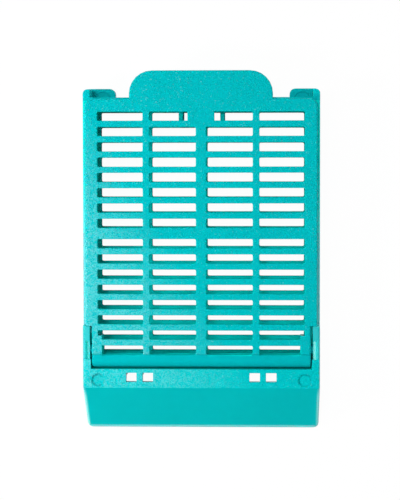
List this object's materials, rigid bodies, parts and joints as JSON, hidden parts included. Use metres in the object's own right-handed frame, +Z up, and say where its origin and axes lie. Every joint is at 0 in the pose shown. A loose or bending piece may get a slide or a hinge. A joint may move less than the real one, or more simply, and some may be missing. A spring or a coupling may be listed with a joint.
{
  "type": "tissue cassette",
  "caption": "Flat perforated plastic specimen box with a slanted writing face, and a hinged perforated lid with a thumb tab.",
  "frame": {"origin": "under the middle of the closed cassette, on the plane it rests on", "axes": "+X across the cassette, +Y from the writing face towards the thumb tab, +Z up through the lid"},
  "size_m": [0.0286, 0.0436, 0.0066],
  "materials": {
    "base": "satin",
    "lid": "fine spark grain"
  },
  "bodies": {
    "base": {"base": "base"},
    "lid": {"lid": "lid"}
  },
  "joints": [
    {"name": "lid_hinge", "type": "hinge", "parent": "base", "child": "lid", "pos_m": [0, -0.01167, 0.00525], "axis": [1, 0, 0], "range_deg": [0, 115]}
  ]
}
